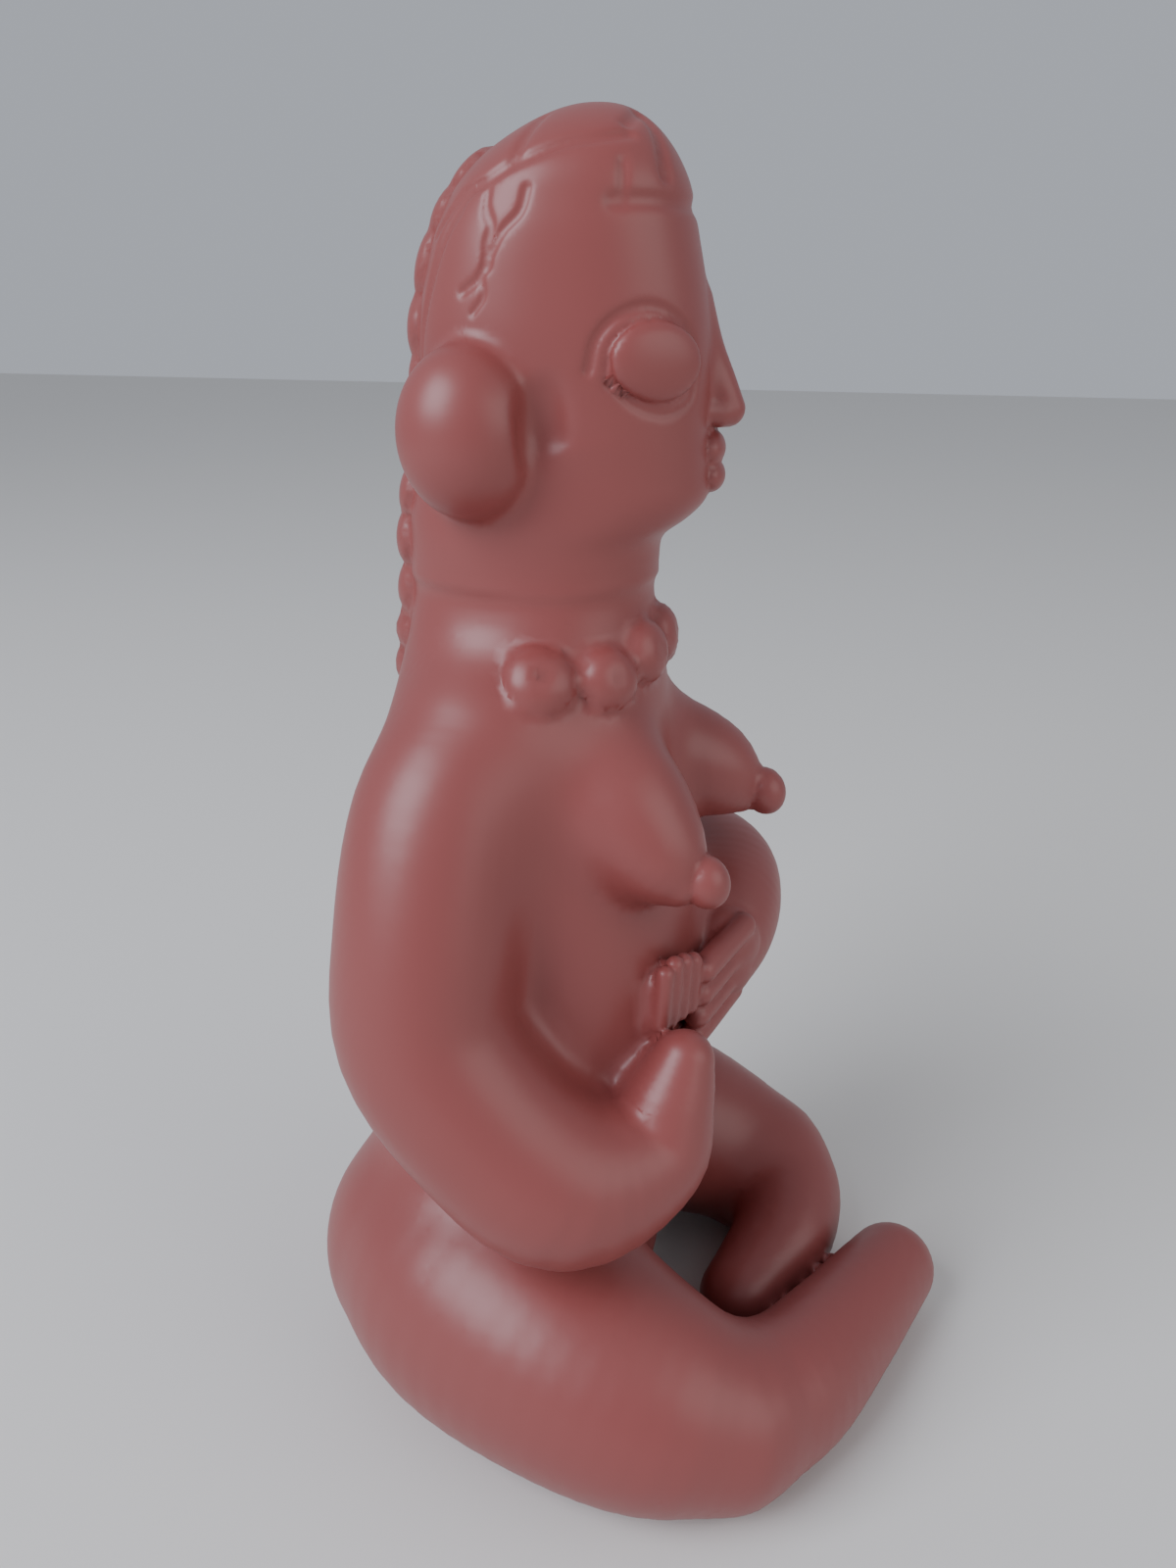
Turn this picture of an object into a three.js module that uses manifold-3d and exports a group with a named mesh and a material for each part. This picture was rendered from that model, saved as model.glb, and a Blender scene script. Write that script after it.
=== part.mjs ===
import * as THREE from 'three';
import { mergeVertices } from 'three/addons/utils/BufferGeometryUtils.js';
import Module from 'manifold-3d';

// Seated woman in fired clay, hollow-built and burnished, all one piece
// Millimetres, +Z up, she faces -Y, her right side is -X, underside flat at Z = 0

// Whole figure
const CROWN_HEIGHT = 265.8;
const HEAD_TURN = THREE.MathUtils.degToRad(13);
const HEAD_PIVOT_Y = 8;
const FOLD_SOFTNESS = 6;
const ARM_SOFTNESS = 8;
const SHIN_SOFTNESS = 4;

// Cross-sections as height, front, back, half width
const TORSO = [
  [16, -16, 50, 40], [40, -18, 50, 40], [60, -20, 46, 38], [80, -23, 40.5, 36], [100, -24.5, 36, 34],
  [120, -22, 35.5, 33.5], [140, -17.5, 38, 34], [152, -16.5, 39, 32.5], [163, -15, 38, 28.5],
  [172, -13.5, 36, 24], [182, -12.5, 34.5, 21], [195, -12.5, 33.5, 20.5], [206, -12, 30, 19],
];
const TORSO_SQUARENESS = 2.2;
const HEAD = [
  [186, -11, 32, 18.5], [191, -12.5, 32, 19.5], [195, -18.5, 32, 20.5], [199, -21.8, 31.5, 21],
  [204, -22.3, 31, 21.5], [212, -22.3, 30.5, 22.5], [220, -22.5, 31, 23], [228, -22.3, 31, 23.3],
  [236, -21.2, 29.8, 23], [244, -19.6, 27.5, 22.5], [250, -18.6, 24.5, 21.5], [256, -17.6, 20.5, 20.5],
  [266, -16.5, 12, 18],
];
const HEAD_SQUARENESS = 2.3;
const CROWN_START = 251;

// Limbs as x, y, z, radius, all drawn on her left side
const RIGHT_ARM = [
  [21, 15, 152, 18], [31, 19, 141, 18], [40, 20, 122, 17.5], [45, 18.5, 102, 17.5], [47, 8, 84, 17.5],
  [43, -7, 79, 16], [35, -19, 85, 12.5], [28.5, -26.5, 91.5, 9], [26, -30, 97, 6],
];
const LEFT_ARM = [
  [21, 15, 152, 18], [31, 19, 141, 18], [40, 20, 122, 17.5], [45, 18, 102, 17.5], [47, 6, 88, 17.5],
  [43, -10, 91, 16], [37, -21, 97, 14], [29, -26, 101, 12.5], [19, -28, 101, 11.5], [9, -28, 102, 9],
];
const RIGHT_LEG = [
  [16, 27, 29, 31], [29, 13, 28, 30.5], [41, -7, 26, 27], [45, -27, 22, 23], [41, -42, 17, 18.5],
];
const RIGHT_SHIN = [
  [41, -42, 17, 18.5], [27, -54, 15, 15.5], [8, -62, 13.5, 13], [-8, -68, 13, 11.5], [-18, -72, 12.5, 10.5],
];
const LEFT_LEG = [
  [16, 27, 29, 31], [28, 13, 27, 28], [38, -5, 25, 24], [42, -22, 22, 21], [41, -37, 18, 18],
];
const LEFT_SHIN = [
  [41, -37, 18, 18], [33, -44, 16, 15], [20, -45, 14, 12.5], [8, -41, 12, 10.5], [0, -38, 11, 9.5],
];
const RIGHT_BREAST = [[14, -6, 154, 16], [17, -12, 144, 15], [19, -18, 136, 11], [20.5, -24, 130.5, 6]];
const LEFT_BREAST = [
  [14, -6, 155, 16], [17, -13, 146, 14.5], [20.5, -21.5, 138, 11.5], [22.5, -28.5, 132.5, 6.5],
];

// Head features as x, y, z in the frame of the head
const EAR_BULB = { at: [20.5, 20, 215.5], size: [12, 12.5, 12.5] };
const EAR_RECESS = { at: [26, 6, 212.5], size: [5, 5, 7] };
const NOSE = [[0, -19, 232, 3], [0, -21, 226, 3.4], [0, -23.5, 219, 3.8], [0, -25.6, 214.8, 3.4]];
const EYE = { angle: 51, height: 224.5, length: 18, width: 12.5, depth: 5, tilt: 6 };
const EYE_GROOVE = 0.7;
const LIPS = [{ height: 207.3, size: [6.6, 4.2, 3] }, { height: 202.4, size: [6, 4, 2.9] }];

// Pellets and plait
const BEADS = [[19, 171, 5.2], [56, 168, 5.4], [91, 169, 5.8]];
const BEAD_RELIEF = 3.4;
const PUNCH_RADIUS = 1.3;
const NIPPLE_RADIUS = 3.9;
const PLAIT_LUMPS = 10;
const PLAIT_TOP = 252;
const PLAIT_BOTTOM = 164;
const PLAIT_RADIUS = 5.5;
const FINGER_RADIUS = 2.1;
const FINGERS = 4;
const LEFT_HAND = { start: -2, pitch: 4, low: 97, length: 13 };
const RIGHT_HAND = { start: -22, pitch: 2.9, low: 105, length: 8 };

const wasm = await Module();
wasm.setup();

const clay = new THREE.MeshStandardMaterial({ color: 0x8a3f3c, roughness: 0.42, metalness: 0 });

// Smooth join of two distances
function blend(a, b, width) {
  const h = THREE.MathUtils.clamp(0.5 + 0.5 * (b - a) / width, 0, 1);
  return b + (a - b) * h - width * h * (1 - h);
}

// Value at height z in a table of rows, with a smooth curve between rows
function rowValue(rows, column, z) {
  const last = rows.length - 1;
  let i = 0;
  while (i < last - 1 && z > rows[i + 1][0]) i += 1;
  const slope = (k) => {
    const a = Math.max(k - 1, 0);
    const b = Math.min(k + 1, last);
    return (rows[b][column] - rows[a][column]) / (rows[b][0] - rows[a][0]);
  };
  const step = rows[i + 1][0] - rows[i][0];
  const t = THREE.MathUtils.clamp((z - rows[i][0]) / step, 0, 1);
  const t2 = t * t;
  const t3 = t2 * t;
  return (2 * t3 - 3 * t2 + 1) * rows[i][column] + (t3 - 2 * t2 + t) * step * slope(i)
    + (3 * t2 - 2 * t3) * rows[i + 1][column] + (t3 - t2) * step * slope(i + 1);
}

// Distance to a body given by oval cross-sections, closed by a dome above domeStart
function lofted(rows, power, domeStart, domeEnd) {
  return (p) => {
    const front = rowValue(rows, 1, p.z);
    const back = rowValue(rows, 2, p.z);
    let width = rowValue(rows, 3, p.z);
    let depth = (back - front) / 2;
    if (domeEnd) {
      const rise = THREE.MathUtils.clamp((p.z - domeStart) / (domeEnd - domeStart), 0, 1);
      const shrink = Math.max(1 - rise ** 2.2, 1e-4) ** (1 / 2.2);
      width *= shrink;
      depth *= shrink;
    }
    const x = Math.abs(p.x) / width;
    const y = Math.abs(p.y - (front + back) / 2) / depth;
    const side = ((x ** power + y ** power) ** (1 / power) - 1) * Math.min(width, depth);
    return Math.max(side, rows[0][0] - p.z, p.z - (domeEnd ?? rows[rows.length - 1][0]));
  };
}

// Distance to a rolled coil of clay whose centre line and radius run through the rows
function coil(rows, steps = 5) {
  const centres = new THREE.CatmullRomCurve3(
    rows.map((r) => new THREE.Vector3(r[0], r[1], r[2])), false, 'catmullrom', 0.5,
  ).getPoints((rows.length - 1) * steps);
  const radii = new THREE.SplineCurve(
    rows.map((r, i) => new THREE.Vector2(i, r[3])),
  ).getPoints((rows.length - 1) * steps).map((v) => v.y);
  const edge = new THREE.Vector3();
  const toPoint = new THREE.Vector3();
  return (p) => {
    let nearest = Infinity;
    for (let i = 0; i < centres.length - 1; i += 1) {
      edge.subVectors(centres[i + 1], centres[i]);
      toPoint.subVectors(p, centres[i]);
      const t = THREE.MathUtils.clamp(toPoint.dot(edge) / edge.lengthSq(), 0, 1);
      const reach = toPoint.addScaledVector(edge, -t).length();
      nearest = Math.min(nearest, reach - THREE.MathUtils.lerp(radii[i], radii[i + 1], t));
    }
    return nearest;
  };
}

function egg(at, size) {
  return (p) => {
    const x = (p.x - at[0]) / size[0];
    const y = (p.y - at[1]) / size[1];
    const z = (p.z - at[2]) / size[2];
    const k0 = Math.hypot(x, y, z);
    const k1 = Math.hypot(x / size[0], y / size[1], z / size[2]);
    return k0 * (k0 - 1) / Math.max(k1, 1e-9);
  };
}

// The head's own frame, turned to her left about the neck
function toHead(p) {
  const c = Math.cos(HEAD_TURN);
  const s = Math.sin(HEAD_TURN);
  const y = p.y - HEAD_PIVOT_Y;
  return new THREE.Vector3(c * p.x + s * y, c * y - s * p.x + HEAD_PIVOT_Y, p.z);
}

function fromHead(p) {
  const c = Math.cos(HEAD_TURN);
  const s = Math.sin(HEAD_TURN);
  const y = p.y - HEAD_PIVOT_Y;
  return new THREE.Vector3(c * p.x - s * y, c * y + s * p.x + HEAD_PIVOT_Y, p.z);
}

function mirrored(p) {
  return new THREE.Vector3(-p.x, p.y, p.z);
}

const torso = lofted(TORSO, TORSO_SQUARENESS);
const skull = lofted(HEAD, HEAD_SQUARENESS, CROWN_START, CROWN_HEIGHT);
const nose = coil(NOSE);
const earBulb = egg(EAR_BULB.at, EAR_BULB.size);
const coils = {
  rightArm: coil(RIGHT_ARM), leftArm: coil(LEFT_ARM), rightLeg: coil(RIGHT_LEG), leftLeg: coil(LEFT_LEG),
  rightShin: coil(RIGHT_SHIN), leftShin: coil(LEFT_SHIN),
  rightBreast: coil(RIGHT_BREAST), leftBreast: coil(LEFT_BREAST),
};

function headField(p) {
  const q = toHead(p);
  let d = skull(q);
  for (const side of [q, mirrored(q)]) d = blend(d, earBulb(side), 3);
  return d;
}

// Distance to the modelled flesh, before pellets and cut lines
function flesh(p) {
  const m = mirrored(p);
  let d = torso(p);
  d = blend(d, coils.rightBreast(m), FOLD_SOFTNESS);
  d = blend(d, coils.leftBreast(p), FOLD_SOFTNESS);
  d = blend(d, headField(p), FOLD_SOFTNESS);
  d = blend(d, coils.rightArm(m), ARM_SOFTNESS);
  d = blend(d, coils.leftArm(p), ARM_SOFTNESS);
  d = blend(d, coils.rightLeg(m), FOLD_SOFTNESS);
  d = blend(d, coils.leftLeg(p), FOLD_SOFTNESS);
  d = blend(d, coils.rightShin(m), SHIN_SOFTNESS);
  d = blend(d, coils.leftShin(p), SHIN_SOFTNESS);
  return d;
}

function slope(field, p) {
  const e = 0.4;
  const n = new THREE.Vector3();
  for (const axis of ['x', 'y', 'z']) {
    const a = p.clone();
    const b = p.clone();
    a[axis] += e;
    b[axis] -= e;
    n[axis] = (field(a) - field(b)) / (2 * e);
  }
  return n;
}

// Moves a point onto the zero surface of a field
function settle(field, p, rounds) {
  for (let i = 0; i < rounds; i += 1) {
    const n = slope(field, p);
    const move = THREE.MathUtils.clamp(field(p) / Math.max(n.lengthSq(), 0.05), -1.5, 1.5);
    p.addScaledVector(n, -move);
  }
  return p;
}

// Grid lines between two limits, closer together where the detail is
function gridLines(from, to, fineFrom, fineTo, fine, coarse) {
  const lines = [from];
  while (lines[lines.length - 1] < to) {
    const at = lines[lines.length - 1];
    lines.push(at + (at > fineFrom && at < fineTo ? fine : coarse));
  }
  return lines;
}

// Fills the grid faces where two bodies meet only corner to corner, so the skin stays one closed surface
function fillPinches(value, [nx, ny, nz], at) {
  const faces = [[[1, 0, 0], [0, 1, 0]], [[0, 1, 0], [0, 0, 1]], [[1, 0, 0], [0, 0, 1]]];
  let filled = true;
  while (filled) {
    filled = false;
    for (let i = 0; i < nx - 1; i += 1) {
      for (let j = 0; j < ny - 1; j += 1) {
        for (let k = 0; k < nz - 1; k += 1) {
          for (const [u, v] of faces) {
            const q = [at(i, j, k), at(i + u[0], j + u[1], k + u[2]),
              at(i + u[0] + v[0], j + u[1] + v[1], k + u[2] + v[2]), at(i + v[0], j + v[1], k + v[2])];
            const inside = q.map((n) => value[n] < 0);
            if (inside[0] === inside[2] && inside[1] === inside[3] && inside[0] !== inside[1]) {
              const open = q.filter((n) => value[n] >= 0).sort((a, b) => value[a] - value[b]);
              value[open[0]] = -0.01;
              filled = true;
            }
          }
        }
      }
    }
  }
}

// Closed skin of a field: one vertex in each crossed cell, one quad across each crossed edge
function skin(field, xs, ys, zs) {
  const nx = xs.length;
  const ny = ys.length;
  const nz = zs.length;
  const at = (i, j, k) => (i * ny + j) * nz + k;
  const value = new Float64Array(nx * ny * nz);
  const corner = (i, j, k) => new THREE.Vector3(xs[i], ys[j], zs[k]);
  for (let i = 0; i < nx; i += 1) {
    for (let j = 0; j < ny; j += 1) {
      for (let k = 0; k < nz; k += 1) value[at(i, j, k)] = field(corner(i, j, k));
    }
  }
  fillPinches(value, [nx, ny, nz], at);
  const ends = [[0, 0, 0], [1, 0, 0], [0, 1, 0], [0, 0, 1], [1, 1, 0], [1, 0, 1], [0, 1, 1], [1, 1, 1]];
  const edges = [];
  for (let a = 0; a < 8; a += 1) {
    for (let b = a + 1; b < 8; b += 1) {
      const apart = ends[a].reduce((sum, v, n) => sum + Math.abs(v - ends[b][n]), 0);
      if (apart === 1) edges.push([ends[a], ends[b]]);
    }
  }
  const vertexOf = new Map();
  const positions = [];
  for (let i = 0; i < nx - 1; i += 1) {
    for (let j = 0; j < ny - 1; j += 1) {
      for (let k = 0; k < nz - 1; k += 1) {
        const middle = new THREE.Vector3();
        let crossings = 0;
        for (const [a, b] of edges) {
          const fa = value[at(i + a[0], j + a[1], k + a[2])];
          const fb = value[at(i + b[0], j + b[1], k + b[2])];
          if ((fa < 0) !== (fb < 0)) {
            const pa = corner(i + a[0], j + a[1], k + a[2]);
            middle.add(pa.lerp(corner(i + b[0], j + b[1], k + b[2]), fa / (fa - fb)));
            crossings += 1;
          }
        }
        if (crossings) {
          middle.divideScalar(crossings);
          settle(field, middle, 1);
          middle.x = THREE.MathUtils.clamp(middle.x, xs[i], xs[i + 1]);
          middle.y = THREE.MathUtils.clamp(middle.y, ys[j], ys[j + 1]);
          middle.z = THREE.MathUtils.clamp(middle.z, zs[k], zs[k + 1]);
          vertexOf.set(at(i, j, k), positions.length / 3);
          positions.push(middle.x, middle.y, middle.z);
        }
      }
    }
  }
  const index = [];
  const turns = [
    { step: [1, 0, 0], u: [0, 1, 0], v: [0, 0, 1] },
    { step: [0, 1, 0], u: [0, 0, 1], v: [1, 0, 0] },
    { step: [0, 0, 1], u: [1, 0, 0], v: [0, 1, 0] },
  ];
  for (let i = 1; i < nx - 1; i += 1) {
    for (let j = 1; j < ny - 1; j += 1) {
      for (let k = 1; k < nz - 1; k += 1) {
        for (const { step, u, v } of turns) {
          const inside = value[at(i, j, k)] < 0;
          if (inside === value[at(i + step[0], j + step[1], k + step[2])] < 0) continue;
          const cell = (a, b) => vertexOf.get(at(
            i - a * u[0] - b * v[0], j - a * u[1] - b * v[1], k - a * u[2] - b * v[2],
          ));
          const quad = [cell(1, 1), cell(0, 1), cell(0, 0), cell(1, 0)];
          if (!inside) quad.reverse();
          index.push(quad[0], quad[1], quad[2], quad[0], quad[2], quad[3]);
        }
      }
    }
  }
  const geometry = new THREE.BufferGeometry();
  geometry.setAttribute('position', new THREE.Float32BufferAttribute(positions, 3));
  geometry.setIndex(index);
  return geometry;
}

function toSolid(geometry) {
  const bare = geometry.clone();
  bare.deleteAttribute('normal');
  bare.deleteAttribute('uv');
  const merged = mergeVertices(bare, 1e-4);
  const vertProperties = new Float32Array(merged.getAttribute('position').array);
  const triVerts = new Uint32Array(merged.getIndex().array);
  return new wasm.Manifold(new wasm.Mesh({ numProp: 3, vertProperties, triVerts }));
}

function toGeometry(solid) {
  const mesh = solid.getMesh();
  const geometry = new THREE.BufferGeometry();
  geometry.setAttribute('position', new THREE.Float32BufferAttribute(mesh.vertProperties, 3));
  geometry.setIndex(Array.from(mesh.triVerts));
  geometry.computeVertexNormals();
  return geometry;
}

// Point on the flesh met on the way in from outside, with the outward direction there
function seat(start, inward) {
  const p = start.clone();
  for (let i = 0; i < 200 && flesh(p) > 0.02; i += 1) {
    p.addScaledVector(inward, Math.max(flesh(p) * 0.6, 0.02));
  }
  return { point: p, outward: slope(flesh, p).normalize() };
}

// Turns a geometry made around +Z to stand on a place of the flesh
function standOn(geometry, place) {
  const up = new THREE.Vector3(0, 0, 1);
  const side = new THREE.Vector3().crossVectors(up, place.outward).normalize();
  const top = new THREE.Vector3().crossVectors(place.outward, side);
  const frame = new THREE.Matrix4().makeBasis(side, top, place.outward).setPosition(place.point);
  return geometry.applyMatrix4(frame);
}

// Flattened pellet pressed on the flesh, its axis along the outward direction
function pellet(place, along, across, relief, turn = 0, rings = 6, sides = 12) {
  const geometry = new THREE.SphereGeometry(1, sides, rings);
  geometry.rotateX(Math.PI / 2);
  geometry.scale(across, along, relief);
  geometry.rotateZ(turn);
  return standOn(geometry, place);
}

// Ring-shaped cutter round a pellet
function ringCut(place, along, across, tube, turn = 0) {
  const geometry = new THREE.TorusGeometry(1, tube / across, 4, 18);
  geometry.scale(across, along, across);
  geometry.rotateZ(turn);
  return standOn(geometry, place);
}

// Place on the body at an angle from the front, seen from above, and a height
function around(angle, height, centreY, reach = 90) {
  const a = THREE.MathUtils.degToRad(angle);
  const out = new THREE.Vector3(Math.sin(a), -Math.cos(a), 0);
  return seat(new THREE.Vector3(0, centreY, height).addScaledVector(out, reach), out.clone().negate());
}

function aroundHead(angle, height, centreY, reach = 60) {
  const a = THREE.MathUtils.degToRad(angle);
  const out = new THREE.Vector3(Math.sin(a), -Math.cos(a), 0);
  const start = fromHead(new THREE.Vector3(0, centreY, height).addScaledVector(out, reach));
  const inward = fromHead(new THREE.Vector3(0, HEAD_PIVOT_Y, height).sub(out));
  inward.sub(fromHead(new THREE.Vector3(0, HEAD_PIVOT_Y, height)));
  return seat(start, inward.normalize());
}

function eggGeometry(at, size, sides = 12, rings = 8) {
  const geometry = new THREE.SphereGeometry(1, sides, rings);
  geometry.scale(size[0], size[1], size[2]);
  const centre = fromHead(new THREE.Vector3(at[0], at[1], at[2]));
  geometry.rotateZ(HEAD_TURN);
  geometry.translate(centre.x, centre.y, centre.z);
  return geometry;
}

function addFace(body) {
  const bridge = (p) => nose(toHead(p));
  const noseSkin = skin(bridge, gridLines(-12, 22, 0, 0, 2, 2), gridLines(-40, -2, 0, 0, 2, 2),
    gridLines(204, 242, 0, 0, 3, 3));
  let solid = body.add(toSolid(noseSkin));
  for (const side of [-1, 1]) {
    const [x, y, z] = EAR_RECESS.at;
    solid = solid.subtract(toSolid(eggGeometry([side * x, y, z], EAR_RECESS.size)));
    const place = aroundHead(side * EYE.angle, EYE.height, 4);
    const tilt = side * THREE.MathUtils.degToRad(EYE.tilt);
    const groove = ringCut(place, EYE.width / 2 + 0.6, EYE.length / 2 + 0.6, EYE_GROOVE, tilt);
    const lid = pellet(place, EYE.width / 2, EYE.length / 2, EYE.depth / 2, tilt, 6, 16);
    solid = solid.subtract(toSolid(groove)).add(toSolid(lid));
  }
  for (const lip of LIPS) {
    const place = aroundHead(0, lip.height, 4);
    const at = toHead(place.point);
    solid = solid.add(toSolid(eggGeometry([0, at.y + lip.size[1] * 0.45, lip.height], lip.size)));
  }
  return solid;
}

function addPlait(body) {
  let solid = body;
  const pitch = (PLAIT_TOP - PLAIT_BOTTOM) / (PLAIT_LUMPS - 1);
  for (let i = 0; i < PLAIT_LUMPS; i += 1) {
    const height = PLAIT_TOP - i * pitch;
    const place = height > 190 ? aroundHead(180, height, 0) : around(180, height, 0);
    const lump = pellet(place, pitch * 0.6, PLAIT_RADIUS, 3, 0, 4, 8);
    solid = solid.add(toSolid(lump));
  }
  return solid;
}

function addNecklace(body) {
  let solid = body;
  for (const [angle, height, radius] of BEADS) {
    for (const side of [-1, 1]) {
      const place = around(side * angle, height, 2);
      const crest = place.point.clone().addScaledVector(place.outward, BEAD_RELIEF);
      const punch = { point: crest, outward: place.outward };
      solid = solid.add(toSolid(pellet(place, radius, radius, BEAD_RELIEF)));
      solid = solid.subtract(toSolid(pellet(punch, PUNCH_RADIUS, PUNCH_RADIUS, 1.6, 0, 4, 6)));
    }
  }
  return solid;
}

function addHandsAndNipples(body) {
  let solid = body;
  for (const [side, rows] of [[-1, RIGHT_BREAST], [1, LEFT_BREAST]]) {
    const tip = rows[rows.length - 1];
    const start = new THREE.Vector3(side * tip[0], -60, tip[2] - 1.5);
    const place = seat(start, new THREE.Vector3(0, 1, 0));
    solid = solid.add(toSolid(pellet(place, NIPPLE_RADIUS, NIPPLE_RADIUS, NIPPLE_RADIUS, 0, 6, 10)));
  }
  for (let i = 0; i < FINGERS; i += 1) {
    const height = LEFT_HAND.low + i * LEFT_HAND.pitch;
    const across = finger([LEFT_HAND.start, -80, height], LEFT_HAND.length, 90, -6);
    const side = RIGHT_HAND.start + i * RIGHT_HAND.pitch;
    const upright = finger([side, -80, RIGHT_HAND.low], RIGHT_HAND.length, 6, 0);
    solid = solid.add(toSolid(across)).add(toSolid(upright));
  }
  return solid;
}

// One finger laid on the belly, lean from upright and turned about the vertical
function finger(from, length, lean, turn) {
  const place = seat(new THREE.Vector3(from[0], from[1], from[2]), new THREE.Vector3(0, 1, 0));
  const geometry = new THREE.CapsuleGeometry(FINGER_RADIUS, length, 3, 8);
  geometry.rotateX(Math.PI / 2);
  geometry.rotateY(THREE.MathUtils.degToRad(lean));
  geometry.rotateZ(THREE.MathUtils.degToRad(turn));
  geometry.translate(place.point.x, place.point.y - 0.8, place.point.z);
  return geometry;
}

// Flat seat so the figure rests on the ground plane
function levelUnderside(body) {
  const block = new THREE.BoxGeometry(300, 300, 40);
  block.translate(0, 0, -20);
  return body.subtract(toSolid(block));
}

const xs = gridLines(-86, 84, -30, 26, 6.8, 9.4);
const ys = gridLines(-106, 78, -84, 32, 6.8, 9.4);
const zs = gridLines(-22, 278, 91, 268, 6.2, 8.6);
let woman = toSolid(skin(flesh, xs, ys, zs));
woman = addFace(woman);
woman = addPlait(woman);
woman = addNecklace(woman);
woman = addHandsAndNipples(woman);
woman = levelUnderside(woman);

// Origin under the middle of the figure, on the ground
const geometry = toGeometry(woman);
geometry.computeBoundingBox();
const middle = geometry.boundingBox.getCenter(new THREE.Vector3());
geometry.translate(-middle.x, -middle.y, 0);

const figurine = new THREE.Mesh(geometry, clay);
figurine.name = 'figurine';

const object = new THREE.Group();
object.add(figurine);

export default object;
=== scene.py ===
import math
import bpy
import numpy as np
from mathutils import Matrix, Vector


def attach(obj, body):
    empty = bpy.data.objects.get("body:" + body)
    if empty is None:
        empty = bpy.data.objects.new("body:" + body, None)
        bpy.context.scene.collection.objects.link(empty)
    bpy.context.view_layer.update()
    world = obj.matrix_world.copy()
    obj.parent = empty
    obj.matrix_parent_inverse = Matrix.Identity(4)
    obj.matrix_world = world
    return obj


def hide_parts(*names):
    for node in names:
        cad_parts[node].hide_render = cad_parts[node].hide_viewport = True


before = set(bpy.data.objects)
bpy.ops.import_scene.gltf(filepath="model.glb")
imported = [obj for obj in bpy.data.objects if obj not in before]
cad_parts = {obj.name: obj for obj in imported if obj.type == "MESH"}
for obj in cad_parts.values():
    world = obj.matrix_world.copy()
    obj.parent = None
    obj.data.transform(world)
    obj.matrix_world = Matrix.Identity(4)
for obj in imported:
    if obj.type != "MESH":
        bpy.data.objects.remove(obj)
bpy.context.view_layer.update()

# Trunk and breasts: one hollow-built body of clay, drawn up in oval rings and smoothed, with two
# cones pressed on the chest. Each ring is height, front, back and half width in millimetres; the
# woman faces -Y with her right side towards -X, and CENTRE is the middle of her footprint.
CENTRE = np.array([-2.2, -11.8, 0.0], np.float32)
TRUNK = [(16, -16, 50, 40), (40, -18, 50, 40), (60, -20, 46, 38), (80, -23, 40.5, 36), (100, -24.5, 36, 34),
         (120, -22, 35.5, 33.5), (140, -17.5, 38, 34), (152, -16.5, 39, 32.5), (163, -15, 38, 28.5),
         (172, -13.5, 36, 24), (182, -12.5, 34.5, 21), (195, -12.5, 33.5, 20.5), (206, -12, 30, 19)]
TRUNK_SQUARENESS = 2.2
RIGHT_BREAST = [(13, -3, 149, 13.5), (16.5, -11, 143, 13.5), (19, -18, 136, 11), (21, -24, 131, 6)]
LEFT_BREAST = [(13, -2, 148, 12.5), (17, -11.5, 142.5, 12.5), (20.5, -20.5, 138, 11), (22, -27.5, 134, 6.5)]
FOLD = 6.0


def join(a, b, width):
    """Smooth union of two distances."""
    h = np.clip(0.5 + 0.5 * (b - a) / width, 0, 1)
    return b + (a - b) * h - width * h * (1 - h)


def cut(a, b, width):
    """Smooth removal of b from a."""
    return -join(-a, b, width)


def ring_value(rings, column, z):
    """Value at height z in the rings, with a smooth curve between them."""
    heights = np.array([r[0] for r in rings], float)
    values = np.array([r[column] for r in rings], float)
    last = len(rings) - 1
    low = np.maximum(np.arange(last + 1) - 1, 0)
    high = np.minimum(np.arange(last + 1) + 1, last)
    slopes = (values[high] - values[low]) / (heights[high] - heights[low])
    i = np.clip(np.searchsorted(heights, z, side="right") - 1, 0, last - 1)
    step = heights[i + 1] - heights[i]
    t = np.clip((z - heights[i]) / step, 0, 1)
    t2, t3 = t * t, t * t * t
    return ((2 * t3 - 3 * t2 + 1) * values[i] + (t3 - 2 * t2 + t) * step * slopes[i]
            + (3 * t2 - 2 * t3) * values[i + 1] + (t3 - t2) * step * slopes[i + 1])


def lofted(p, rings, power, dome=None):
    """Distance to a body of oval rings, closed above dome[0] by a dome that ends at dome[1]."""
    z = p[:, 2]
    front, back, width = (ring_value(rings, c, z) for c in (1, 2, 3))
    depth = (back - front) / 2
    if dome:
        rise = np.clip((z - dome[0]) / (dome[1] - dome[0]), 0, 1)
        shrink = np.maximum(1 - rise ** 2.2, 1e-4) ** (1 / 2.2)
        width, depth = width * shrink, depth * shrink
    x = np.abs(p[:, 0]) / width
    y = np.abs(p[:, 1] - (front + back) / 2) / depth
    side = ((x ** power + y ** power) ** (1 / power) - 1) * np.minimum(width, depth)
    return np.maximum(np.maximum(side, rings[0][0] - z), z - (dome[1] if dome else rings[-1][0]))


def curve_through(rows, steps):
    """Catmull-Rom points through rows of any width."""
    rows = np.array(rows, float)
    ends = np.vstack([2 * rows[0] - rows[1], rows, 2 * rows[-1] - rows[-2]])
    points = []
    for a, b, c, d in zip(ends[:-3], ends[1:-2], ends[2:-1], ends[3:]):
        for s in range(steps):
            t = s / steps
            points.append(0.5 * (2 * b + (c - a) * t + (2 * a - 5 * b + 4 * c - d) * t * t
                                 + (3 * b - a - 3 * c + d) * t ** 3))
    return np.array(points + [rows[-1]])


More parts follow.
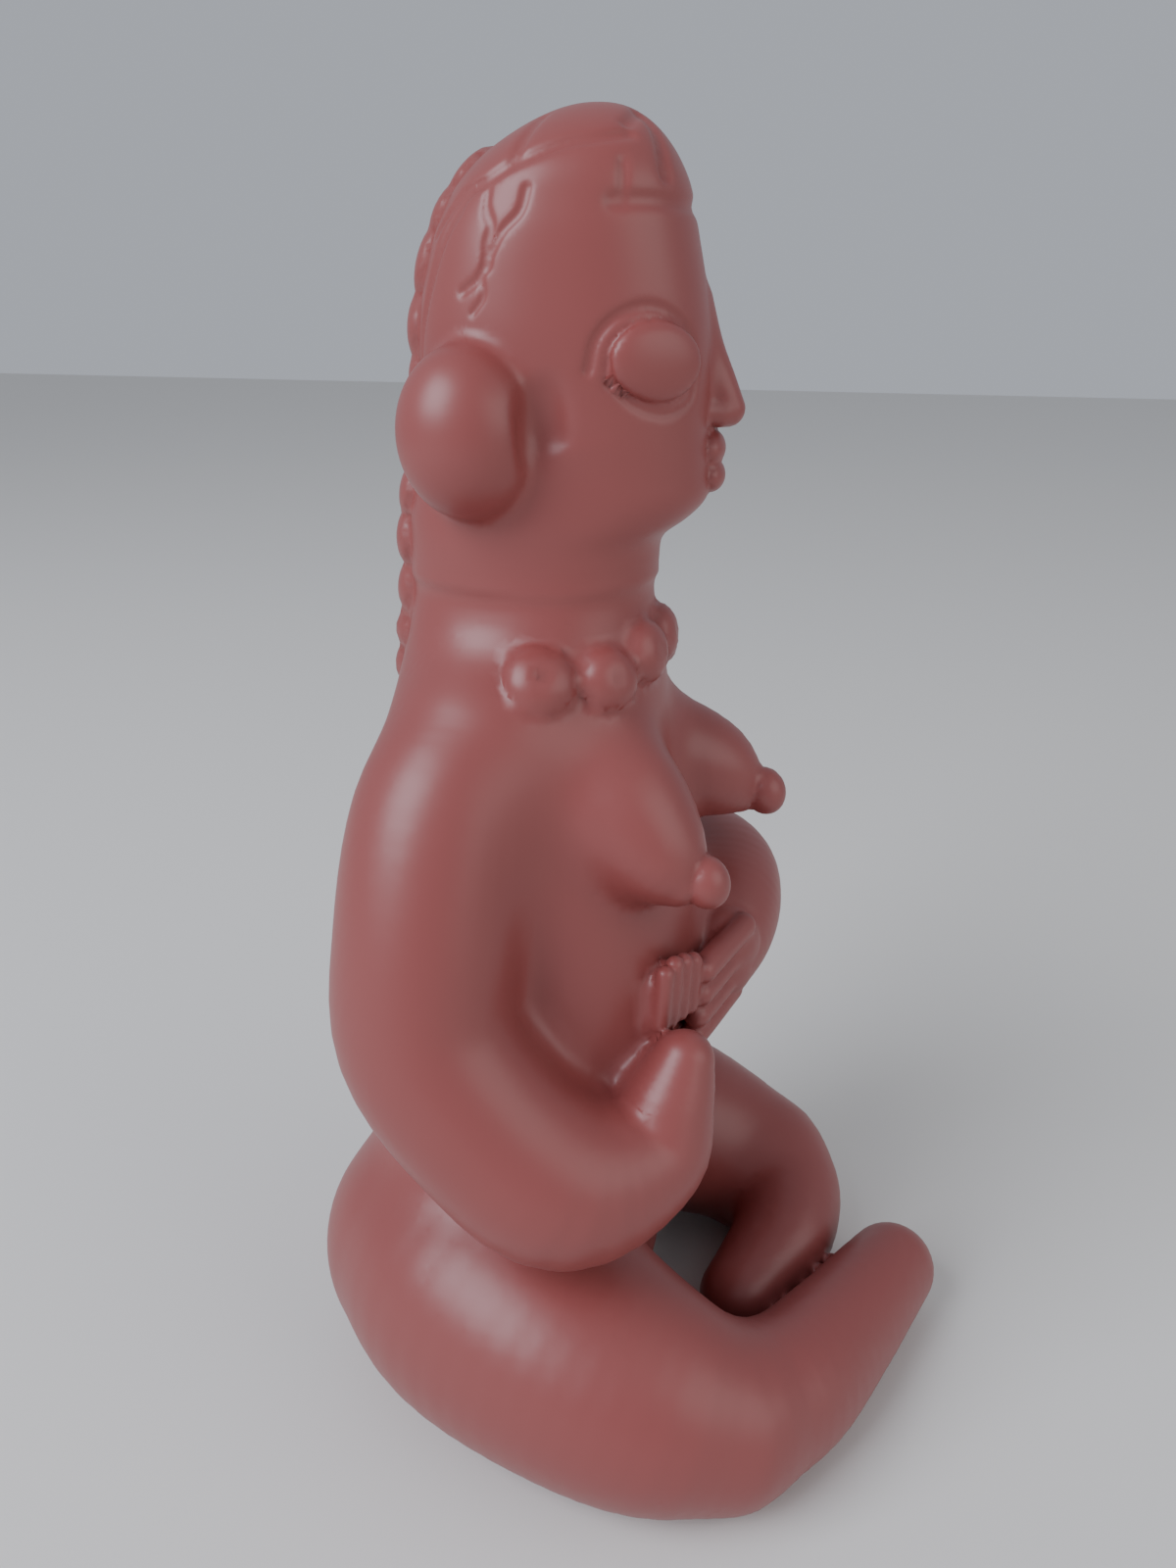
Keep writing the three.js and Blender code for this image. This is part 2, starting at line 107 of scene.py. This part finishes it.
def coil(p, rows, steps=5):
    """Distance to a rolled coil of clay whose centre line and radius run through the rows."""
    line = curve_through(rows, steps)
    nearest = np.full(len(p), 1e6)
    for a, b in zip(line[:-1], line[1:]):
        edge = b[:3] - a[:3]
        along = np.clip((p - a[:3]) @ edge / max(edge @ edge, 1e-9), 0, 1)
        away = p - a[:3] - along[:, None] * edge
        reach = np.sqrt(np.einsum("ij,ij->i", away, away)) - (a[3] + (b[3] - a[3]) * along)
        nearest = np.minimum(nearest, reach)
    return nearest


def mirrored(p):
    return p * np.array([-1, 1, 1])


def trunk(p):
    d = lofted(p, TRUNK, TRUNK_SQUARENESS)
    d = join(d, coil(mirrored(p), RIGHT_BREAST), FOLD)
    return join(d, coil(p, LEFT_BREAST), FOLD)


# Head: a tall closed bulb on the neck, turned a little to her left, with a pinched nose, big
# hollow-looking ear bulbs set far back and a deep dent in front of each.
HEAD_TURN = math.radians(13)
NECK_Y = 8.0
HEAD = [(186, -11, 32, 18.5), (191, -12.5, 32, 19.5), (195, -19, 32, 20.5), (199, -22.6, 31.5, 21),
        (204, -22.8, 31, 21.5), (212, -22.3, 30.5, 22.5), (220, -22.5, 31, 23), (228, -22.3, 31, 23.3),
        (236, -21.2, 29.8, 23), (244, -19.6, 27.5, 22.5), (250, -18.4, 24.5, 21.5), (256, -17.2, 20.5, 20.5),
        (266, -16, 12, 18)]
HEAD_SQUARENESS = 2.3
CROWN = (250, 265.0)
NOSE = [(0, -19, 233, 3), (0, -21, 226, 3.4), (0, -23.5, 219, 3.8), (0, -25.8, 214.6, 3.3)]
NOSTRIL = [(2.2, -24.2, 213.8, 2.2), (3.6, -22.2, 214.2, 1.6)]
EAR_BULB = ((20.5, 20, 212), (12, 12.5, 15))
EAR_DENT = ((25.5, 6.2, 213), (4.6, 4.6, 8.5))


def to_head(p):
    """Points seen from the head's own frame."""
    c, s = math.cos(HEAD_TURN), math.sin(HEAD_TURN)
    y = p[:, 1] - NECK_Y
    return np.stack([c * p[:, 0] + s * y, c * y - s * p[:, 0] + NECK_Y, p[:, 2]], 1)


def from_head(p):
    c, s = math.cos(HEAD_TURN), math.sin(HEAD_TURN)
    y = p[:, 1] - NECK_Y
    return np.stack([c * p[:, 0] - s * y, c * y + s * p[:, 0] + NECK_Y, p[:, 2]], 1)


def egg(p, centre, radii):
    q = (p - np.array(centre)) / np.array(radii)
    k0 = np.sqrt(np.einsum("ij,ij->i", q, q))
    q = q / np.array(radii)
    return k0 * (k0 - 1) / np.maximum(np.sqrt(np.einsum("ij,ij->i", q, q)), 1e-9)


def head(q):
    d = lofted(q, HEAD, HEAD_SQUARENESS, CROWN)
    d = join(d, coil(q, NOSE), 2.5)
    for side in (q, mirrored(q)):
        d = join(d, coil(side, NOSTRIL), 1.5)
        d = join(d, egg(side, *EAR_BULB), 2.5)
        d = cut(d, egg(side, *EAR_DENT), 2.5)
    return d


# Arms: one rolled coil each from shoulder to wrist, the elbows resting on the thighs and the
# hands laid on the belly.
RIGHT_ARM = [(21, 15, 152, 18), (31, 19, 141, 18), (40, 20, 122, 17.5), (45, 18.5, 102, 17.5), (46.5, 6, 85, 17),
             (44, -8.5, 73.5, 17), (34, -22.5, 75, 12), (30, -26, 85, 9), (27, -28.2, 94, 6)]
LEFT_ARM = [(21, 15, 152, 18), (31, 19, 141, 18), (40, 20, 122, 17.5), (45, 17, 107, 17.5), (46, 4, 101, 17),
            (42, -10.5, 103, 16.5), (35, -20, 104.5, 15.5), (26, -24, 103.5, 14.5), (17, -25, 101, 13.5), (8, -25, 98, 11)]
ARM_FOLD = 8.0


def arms(p):
    return np.minimum(coil(mirrored(p), RIGHT_ARM), coil(p, LEFT_ARM))


# Legs: thick coils that start in the buttocks, lie along the ground and cross in front, the
# right shin outermost.
RIGHT_LEG = [(16.5, 26.8, 27, 31), (29, 13, 27.5, 30.5), (39.5, -7, 26, 26.5), (43.5, -26, 22, 22.5),
             (40, -41, 17, 17.8)]
RIGHT_SHIN = [(40, -41, 17, 17.8), (26.5, -53, 15, 15), (8, -61.5, 13.5, 13), (-8, -68, 13, 11.5),
              (-18, -72, 12.5, 10.5)]
LEFT_LEG = [(16, 27, 28, 31), (28, 13, 27.5, 28), (38, -6, 28, 24), (41.5, -21.5, 23, 20.5), (40.5, -35.5, 18, 17.5)]
LEFT_SHIN = [(40.5, -35.5, 18, 17.5), (33, -43, 16, 15), (20, -45, 14, 12.5), (8, -41, 12, 10.5), (0, -38, 11, 9.5)]
SHIN_FOLD = 3.0


def flesh(p):
    """The whole smooth body before pellets and cut lines."""
    m = mirrored(p)
    d = trunk(p)
    d = join(d, head(to_head(p)), FOLD)
    d = join(d, arms(p), ARM_FOLD)
    for leg in (coil(m, RIGHT_LEG), coil(p, LEFT_LEG)):
        d = join(d, leg, FOLD)
    for shin in (coil(m, RIGHT_SHIN), coil(p, LEFT_SHIN)):
        d = join(d, shin, SHIN_FOLD)
    return cut(d, p[:, 2], 1.0)


def around_head(angle, height):
    """Points on the head at angles from its front, towards her right, and heights."""
    a = np.radians(np.atleast_1d(np.asarray(angle, float)))
    z = np.broadcast_to(np.atleast_1d(np.asarray(height, float)), a.shape)
    out = np.stack([-np.sin(a), -np.cos(a), np.zeros_like(a)], 1)
    q = np.stack([0 * a, 4 + 0 * a, z], 1) + out * 50
    for _ in range(60):
        q = q - out * np.maximum(head(q), 0)[:, None] * 0.7
    return q


def around_body(angle, height, centre_y=2.0):
    """Points on the body at angles from its front, towards her right, and heights."""
    a = np.radians(np.atleast_1d(np.asarray(angle, float)))
    z = np.broadcast_to(np.atleast_1d(np.asarray(height, float)), a.shape)
    out = np.stack([-np.sin(a), -np.cos(a), np.zeros_like(a)], 1)
    p = np.stack([0 * a, centre_y + 0 * a, z], 1) + out * 90
    for _ in range(80):
        p = p - out * np.maximum(flesh(p), 0)[:, None] * 0.7
    return p


def slope(field, p, e=0.25):
    """Gradient of a field at points, from four corners of a small tetrahedron."""
    corners = np.array([(1, -1, -1), (-1, -1, 1), (-1, 1, -1), (1, 1, 1)], float)
    return sum(k * field(p + e * k)[:, None] for k in corners) / (4 * e)


def outward(field, p):
    n = slope(field, p)
    return n / np.maximum(np.linalg.norm(n, axis=1), 1e-9)[:, None]


def pressed_pellet(p, place, up, radii, turn=0.0):
    """Distance to a pellet pressed on at a place: radii across, along and out, turned in degrees."""
    side = np.cross((0, 0, 1.0), up)
    side /= np.linalg.norm(side)
    top = np.cross(up, side)
    c, s = math.cos(math.radians(turn)), math.sin(math.radians(turn))
    axes = np.stack([c * side + s * top, c * top - s * side, up], 1)
    return egg((p - place) @ axes, (0, 0, 0), radii)


# Face: two pellets pressed flat for the lidded eyes, inside a cut ring, and a small pursed mouth
# of one pellet cut across.
EYE_AT = (49, 223.8)
EYE_RADII = (8.8, 6.6, 2.6)
EYE_LEAN = -6
MOUTH_AT = ((0, 207.6), (0, 202.6))
MOUTH_RADII = ((6.2, 3.5, 3.2), (5.6, 3.3, 3.0))


def face(q):
    d = np.full(len(q), 12.0)
    near = (q[:, 2] > 190) & (q[:, 2] < 242) & (q[:, 1] < 6)
    n = q[near]
    if len(n) == 0:
        return d
    e = np.full(len(n), 12.0)
    for side, points in ((1, n), (-1, mirrored(n))):
        e = np.minimum(e, pressed_pellet(points, EYE_PLACE, EYE_UP, EYE_RADII, EYE_LEAN))
    for place, up, radii in zip(MOUTH_PLACES, MOUTH_UPS, MOUTH_RADII):
        e = join(e, pressed_pellet(n, place, up, radii), 0.5)
    d[near] = e
    return d


EYE_PLACE = around_head(*EYE_AT)[0]
EYE_UP = outward(head, EYE_PLACE[None])[0]
MOUTH_PLACES = [around_head(*at)[0] for at in MOUTH_AT]
MOUTH_UPS = [np.array((0, -1.0, 0)) for _ in MOUTH_AT]

# Hands and nipples: pellets and rolled fingers pressed on the belly and the chest.
NIPPLES = ((-21, 130.5, 5.0), (22, 133.0, 5.0))
RIGHT_PALM = [(-19, -19.5, 97.5, 5), (-17.5, -20.5, 104, 5)]
RIGHT_FINGERS = [[(-22.5 + 3 * i, -22 - 1.3 * i, 98), (-21 + 2.7 * i, -22.5 - 1.3 * i, 110 - abs(i - 1.2))]
                 for i in range(4)]
LEFT_PALM = [(14, -27, 101, 10), (8, -27.5, 102, 9), (4, -27, 102, 7)]
LEFT_FINGERS = [[(6, -31 - 0.7 * i, z), (-10, -26.5 - 0.5 * i, z - 2.8)]
                for i, z in enumerate((91.5, 96.6, 102, 107.6))]


def rod(p, ends, radius):
    a, b = np.array(ends[0], float), np.array(ends[1], float)
    t = np.clip((p - a) @ (b - a) / ((b - a) @ (b - a)), 0, 1)
    return np.linalg.norm(p - a - t[:, None] * (b - a), axis=1) - radius


def hands(p):
    d = np.full(len(p), 12.0)
    near = (p[:, 1] < -14) & (p[:, 2] > 82) & (p[:, 2] < 140) & (np.abs(p[:, 0]) < 36)
    n = p[near]
    if len(n) == 0:
        return d
    e = join(coil(n, RIGHT_PALM), coil(n, LEFT_PALM), 1.0)
    for ends in RIGHT_FINGERS:
        e = join(e, rod(n, ends, 1.9), 0.6)
    for ends in LEFT_FINGERS:
        e = join(e, rod(n, ends, 2.9), 0.6)
    for place in NIPPLE_PLACES:
        e = np.minimum(e, pressed_pellet(n, place, NIPPLE_UP, (4.6, 5.4, 4.6)))
    d[near] = e
    return d


NIPPLE_UP = np.array((0, -0.94, 0.34))
NIPPLE_PLACES = []
for x, z, _ in NIPPLES:
    start = np.array([[x, -60.0, z]])
    for _ in range(60):
        start[0, 1] += max(flesh(start)[0], 0) * 0.7
    NIPPLE_PLACES.append(start[0])

# Plait down the back of the head and neck, laid on in overlapping lumps: angle from the
# front, height, half length and how far each stands out.
PLAIT = [(167, 254.5, 4.6, 1.8), (167, 248, 4.6, 2.2), (167, 239.5, 5.8, 2.6), (167, 229, 5.6, 2.8),
         (167, 219, 5.4, 3), (167, 209, 5.4, 3.2), (168, 199.5, 5.2, 3.2), (170, 190, 5.4, 3.4),
         (173, 180, 5.8, 4.2), (177, 171, 4.6, 4.2), (180, 163.5, 4.6, 3.4)]
PLAIT_PLACES = []
for angle, z, half, out in PLAIT:
    place = around_body(angle, z, 10)[0]
    PLAIT_PLACES.append((place, outward(flesh, place[None])[0], (6.8, half * 1.2, out)))


def plait(p):
    d = np.full(len(p), 12.0)
    near = (p[:, 2] > 150) & (p[:, 2] < 270) & (p[:, 1] > 12) & (np.abs(p[:, 0]) < 16)
    n = p[near]
    if len(n) == 0:
        return d
    e = np.full(len(n), 12.0)
    for place, up, radii in PLAIT_PLACES:
        e = join(e, pressed_pellet(n, place, up, radii), 0.4)
    d[near] = e
    return d


# Necklace: six round pellets pressed on round the foot of the neck, each punched in the middle.
BEADS = [(89, 168.8, 6.9), (57, 167.7, 6.3), (22, 170.5, 6.4), (-17, 171.7, 6.0), (-52, 168, 6.3), (-86, 169, 6.6)]
BEAD_RELIEF = 4.2
BEAD_PLACES = [around_body(angle, z)[0] for angle, z, _ in BEADS]
BEAD_UPS = [outward(flesh, place[None])[0] for place in BEAD_PLACES]


def beads(p, punched=True):
    d = np.full(len(p), 12.0)
    near = (p[:, 2] > 154) & (p[:, 2] < 186) & (np.abs(p[:, 0]) < 42) & (p[:, 1] < 18)
    n = p[near]
    if len(n) == 0:
        return d
    e = np.full(len(n), 12.0)
    for place, up, (_, _, radius) in zip(BEAD_PLACES, BEAD_UPS, BEADS):
        bead = pressed_pellet(n, place, up, (radius, radius, BEAD_RELIEF))
        if punched:
            bead = cut(bead, pressed_pellet(n, place + up * (BEAD_RELIEF + 0.3), up, (1.4, 2.0, 1.7)), 0.5)
        e = np.minimum(e, bead)
    d[near] = e
    return d


# Cut lines, drawn in the leather-hard clay with a pointed stick and left full of pale slip. Those
# on the head are angle from the front and height.
HEAD_LINES = [
    (0.9, 0.8, [(77, 222.5), (74, 227.5), (66, 231), (54, 232.6), (42, 231.5), (33, 228.5), (27, 223)]),
    (0.8, 0.9, [(27, 223), (30, 217.5), (43, 215.2), (56, 216.6), (68, 220.5)]),
    (0.6, 0.6, [(59, 225.3), (48, 224), (36, 222.7)]),
    (1.0, 1.0, [(52, 258.8), (71, 258), (84.5, 257.4), (98, 256), (113, 254), (124, 251.8), (133, 250.4),
                (142, 246), (148, 240), (153, 234), (158, 228), (163, 221)]),
    (0.8, 0.7, [(128, 251.5), (139, 250), (147, 247), (155, 244)]),
    (0.7, 0.6, [(137, 247), (147, 241), (151, 236), (155, 231)]),
    (1.0, 1.1, [(110, 262), (111, 258.5), (112, 255)]),
    (0.8, 0.7, [(103, 250.5), (105.5, 247), (113, 244), (118, 240.4), (123, 236.8), (130, 234.8)]),
    (0.7, 0.6, [(122, 250.2), (121.5, 247.8)]),
    (0.8, 0.8, [(120.5, 246.8), (118, 244.8), (119.5, 242), (119, 238.8)]),
    (0.6, 0.5, [(121.5, 236.8), (120.5, 234), (125, 231.5)]),
    (0.8, 1.3, [(66, 248.6), (50, 248.8), (25, 248.6), (0, 248.3)]),
    (0.6, 0.9, [(62, 248.6), (61, 251.5), (60, 254.5)]),
    (1.1, 1.2, [(49, 260.6), (38, 262), (24, 263)]),
    (1.6, 1.3, [(22, 263), (27, 260.5), (32, 258.2), (36, 255.6), (38, 253)]),
]


def on_head(points):
    rows = curve_through(points, 6)
    return around_head(rows[:, 0], rows[:, 1])


LINES = []
for depth, width, points in HEAD_LINES:
    for side in (1, -1):
        LINES.append((depth, width, on_head([(side * angle, height) for angle, height in points])))


def near_line(q, line, reach):
    """Distance to a line for the points that are near it; the rest keep reach."""
    d = np.full(len(q), float(reach))
    low, high = line.min(0) - reach, line.max(0) + reach
    near = np.nonzero(np.all((q > low) & (q < high), axis=1))[0]
    n = q[near]
    e = d[near]
    for a, b in zip(line[:-1], line[1:]):
        t = np.clip((n - a) @ (b - a) / max((b - a) @ (b - a), 1e-9), 0, 1)
        e = np.minimum(e, np.linalg.norm(n - a - t[:, None] * (b - a), axis=1))
    d[near] = e
    return d


def woman(p, lines=True):
    """The whole figure: body, pellets and cut lines."""
    q = to_head(p)
    d = np.minimum(flesh(p), face(q))
    for pressed in (hands(p), plait(p), beads(p, lines)):
        d = np.minimum(d, pressed)
    if lines:
        for depth, width, line in LINES:
            away = near_line(q, line, 4 * width)
            d = d + depth * np.exp(-(away / width) ** 2) * (away < 4 * width)
    return np.maximum(d, -p[:, 2])


# Closed skin of the figure: one vertex in each crossed cell of a grid, one quad across each
# crossed edge, then edges halved where the carving is fine and every vertex moved on the form.
CELL = 2.0
LOW, HIGH = np.array((-72.0, -92.0, -5.0)), np.array((72.0, 64.0, 272.0))


def fill_pinches(value):
    """Closes grid faces where two bodies would touch only corner to corner."""
    while True:
        filled = 0
        for u, v in ((0, 1), (1, 2), (0, 2)):
            def part(a, b):
                s = [slice(None)] * 3
                s[u] = slice(a, None if a else -1)
                s[v] = slice(b, None if b else -1)
                return tuple(s)
            c = [part(0, 0), part(1, 0), part(1, 1), part(0, 1)]
            inside = [value[k] < 0 for k in c]
            bad = (inside[0] == inside[2]) & (inside[1] == inside[3]) & (inside[0] != inside[1])
            if not bad.any():
                continue
            filled += int(bad.sum())
            for pair in ((0, 2), (1, 3)):
                which = bad & ~inside[pair[0]]
                value[c[pair[0]]][which] = -0.01
        if not filled:
            return


def nets(value):
    nx, ny, nz = value.shape
    inside = value < 0
    count = np.zeros((nx - 1, ny - 1, nz - 1))
    total = np.zeros((nx - 1, ny - 1, nz - 1, 3))
    for corner in [(i, j, k) for i in (0, 1) for j in (0, 1) for k in (0, 1)]:
        here = tuple(slice(c, c + n - 1) for c, n in zip(corner, value.shape))
        for axis in range(3):
            if corner[axis]:
                continue
            there = tuple(slice(c + (a == axis), c + (a == axis) + n - 1)
                          for a, (c, n) in enumerate(zip(corner, value.shape)))
            crossed = inside[here] != inside[there]
            t = np.where(crossed, value[here] / np.where(crossed, value[here] - value[there], 1), 0)
            count += crossed
            for a in range(3):
                total[..., a] += np.where(crossed, corner[a] + (t if a == axis else 0), 0)
    used = count > 0
    index = np.full(used.shape, -1)
    index[used] = np.arange(used.sum())
    points = LOW + CELL * (np.argwhere(used) + total[used] / count[used][:, None])
    quads = []
    for axis, (u, v) in enumerate(((1, 2), (2, 0), (0, 1))):
        first = [slice(1, -1)] * 3
        second = list(first)
        first[axis], second[axis] = slice(0, -1), slice(1, None)
        edge = inside[tuple(first)] != inside[tuple(second)]
        at = np.argwhere(edge) + np.array([0 if a == axis else 1 for a in range(3)])
        solid_first = inside[tuple(first)][edge]
        du, dv = np.eye(3, dtype=int)[u], np.eye(3, dtype=int)[v]
        ring = np.stack([index[tuple((at - a * du - b * dv).T)] for a, b in ((1, 1), (0, 1), (0, 0), (1, 0))], 1)
        ring[~solid_first] = ring[~solid_first][:, ::-1]
        quads.append(ring)
    quads = np.vstack(quads)
    return points, np.vstack([quads[:, [0, 1, 2]], quads[:, [0, 2, 3]]])


def refine(points, faces, wanted):
    """Halves every edge longer than wanted there, keeping the surface closed."""
    edges = np.sort(np.vstack([faces[:, [0, 1]], faces[:, [1, 2]], faces[:, [2, 0]]]), axis=1)
    key = edges[:, 0] * len(points) + edges[:, 1]
    unique, back = np.unique(key, return_inverse=True)
    a, b = unique // len(points), unique % len(points)
    middle = (points[a] + points[b]) / 2
    long = np.linalg.norm(points[a] - points[b], axis=1) > wanted(middle)
    new = np.full(len(unique), -1)
    new[long] = len(points) + np.arange(long.sum())
    points = np.vstack([points, middle[long]])
    m = new[back].reshape(3, -1).T
    halved = (m >= 0).sum(1)
    out = [faces[halved == 0]]
    for turn in range(3):
        f = np.roll(faces, -turn, axis=1)
        e = np.roll(m, -turn, axis=1)
        one = (halved == 1) & (e[:, 0] >= 0)
        out.append(np.stack([f[one, 0], e[one, 0], f[one, 2]], 1))
        out.append(np.stack([e[one, 0], f[one, 1], f[one, 2]], 1))
        two = (halved == 2) & (e[:, 2] < 0)
        out.append(np.stack([e[two, 0], f[two, 1], e[two, 1]], 1))
        short = np.linalg.norm(points[e[two, 0]] - points[f[two, 2]], axis=1) \
            < np.linalg.norm(points[e[two, 1]] - points[f[two, 0]], axis=1)
        f2, e2 = f[two], e[two]
        out.append(np.stack([f2[short, 0], e2[short, 0], f2[short, 2]], 1))
        out.append(np.stack([e2[short, 0], e2[short, 1], f2[short, 2]], 1))
        out.append(np.stack([f2[~short, 0], e2[~short, 0], e2[~short, 1]], 1))
        out.append(np.stack([f2[~short, 0], e2[~short, 1], f2[~short, 2]], 1))
    three = halved == 3
    f, e = faces[three], m[three]
    out += [np.stack([f[:, 0], e[:, 0], e[:, 2]], 1), np.stack([e[:, 0], f[:, 1], e[:, 1]], 1),
            np.stack([e[:, 2], e[:, 1], f[:, 2]], 1), e]
    return points, np.vstack(out), int(long.sum())


def settle(points, field, most=0.8):
    n = slope(field, points)
    move = np.clip(field(points) / np.maximum((n * n).sum(1), 0.2), -most, most)
    return points - n * move[:, None]


def fineness(p):
    """Longest edge wanted at each place."""
    q = to_head(p)
    want = np.where(p[:, 2] > 178, 1.7, 3.0)
    want = np.where((q[:, 2] > 196) & (q[:, 2] < 236) & (q[:, 1] < -4), 1.2, want)
    hand = (p[:, 1] < -20) & (p[:, 2] > 88) & (p[:, 2] < 136)
    want = np.where(hand, 1.3, want)
    for depth, width, line in LINES:
        away = near_line(q, line, 3.0)
        want = np.where(away < 3.0, np.minimum(want, 0.7 + 0.2 * away), want)
    return want


axes = [LOW[a] + CELL * np.arange(int(math.ceil((HIGH[a] - LOW[a]) / CELL)) + 1) for a in range(3)]
grid = np.stack(np.meshgrid(*axes, indexing="ij"), -1)
value = np.empty(grid.shape[:3])
for i in range(len(axes[0])):
    value[i] = woman(grid[i].reshape(-1, 3), lines=False).reshape(grid.shape[1:3])
value += 1e-6
fill_pinches(value)
points, faces = nets(value)
for _ in range(2):
    points = settle(points, lambda p: woman(p, lines=False))
for _ in range(5):
    points, faces, count = refine(points, faces, fineness)
    if not count:
        break
for _ in range(2):
    points = settle(points, woman)
points[:, 2] = np.maximum(points[:, 2], 0)
points = (points - np.array((-2.352, -11.368, 0))) / 1000
print("figure:", len(points), "vertices,", len(faces), "triangles")

mesh = bpy.data.meshes.new("figurine_body")
mesh.vertices.add(len(points))
mesh.vertices.foreach_set("co", points.astype(np.float32).ravel())
mesh.loops.add(faces.size)
mesh.loops.foreach_set("vertex_index", faces.astype(np.int32).ravel())
mesh.polygons.add(len(faces))
mesh.polygons.foreach_set("loop_start", np.arange(0, faces.size, 3, dtype=np.int32))
mesh.polygons.foreach_set("loop_total", np.full(len(faces), 3, dtype=np.int32))
mesh.update(calc_edges=True)
mesh.shade_smooth()
body = bpy.data.objects.new("figurine_body", mesh)
bpy.context.scene.collection.objects.link(body)

clay = bpy.data.materials.new("burnished_clay")
clay.use_nodes = True
bsdf = clay.node_tree.nodes["Principled BSDF"]
bsdf.inputs["Base Color"].default_value = (0.25, 0.06, 0.055, 1)
bsdf.inputs["Roughness"].default_value = 0.4
mesh.materials.append(clay)
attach(body, "root")
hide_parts("figurine")

# Studio: pale floor, soft window-like light from the upper left and the photograph's viewpoint.
bpy.ops.mesh.primitive_plane_add(size=6)
floor = bpy.context.object
floor.name = "floor"
floor_paint = bpy.data.materials.new("floor_paint")
floor_paint.use_nodes = True
floor_paint.node_tree.nodes["Principled BSDF"].inputs["Base Color"].default_value = (0.72, 0.7, 0.67, 1)
floor_paint.node_tree.nodes["Principled BSDF"].inputs["Roughness"].default_value = 0.7
floor.data.materials.append(floor_paint)

world = bpy.data.worlds.new("studio")
bpy.context.scene.world = world
world.use_nodes = True
world.node_tree.nodes["Background"].inputs["Color"].default_value = (0.85, 0.9, 1, 1)
world.node_tree.nodes["Background"].inputs["Strength"].default_value = 0.5


def softbox(name, place, aim, size, power, colour):
    light = bpy.data.lights.new(name, "AREA")
    light.shape = "RECTANGLE"
    light.size, light.size_y = size
    light.energy = power
    light.color = colour
    lamp = bpy.data.objects.new(name, light)
    lamp.location = place
    lamp.rotation_euler = (Vector(aim) - Vector(place)).to_track_quat("-Z", "Y").to_euler()
    bpy.context.scene.collection.objects.link(lamp)


softbox("window", (-0.9, 0.7, 1.0), (0, 0, 0.14), (0.9, 0.9), 22, (0.86, 0.9, 1.0))
softbox("fill", (-0.3, -1.3, 0.7), (0, 0, 0.12), (1.2, 1.0), 6, (1.0, 0.97, 0.94))

turn, tilt = math.radians(17), math.radians(22)
aim = Vector((0.00235, 0.01137, 0.139))
back = Vector((-math.cos(tilt) * math.cos(turn), -math.cos(tilt) * math.sin(turn), math.sin(tilt)))
lens = bpy.data.cameras.new("photo_view")
lens.sensor_width = 36
lens.lens = 28.08
lens.clip_start = 0.01
camera = bpy.data.objects.new("photo_view", lens)
camera.location = aim + back * 0.25669
camera.rotation_euler = (-back).to_track_quat("-Z", "Y").to_euler()
bpy.context.scene.collection.objects.link(camera)
bpy.context.scene.camera = camera
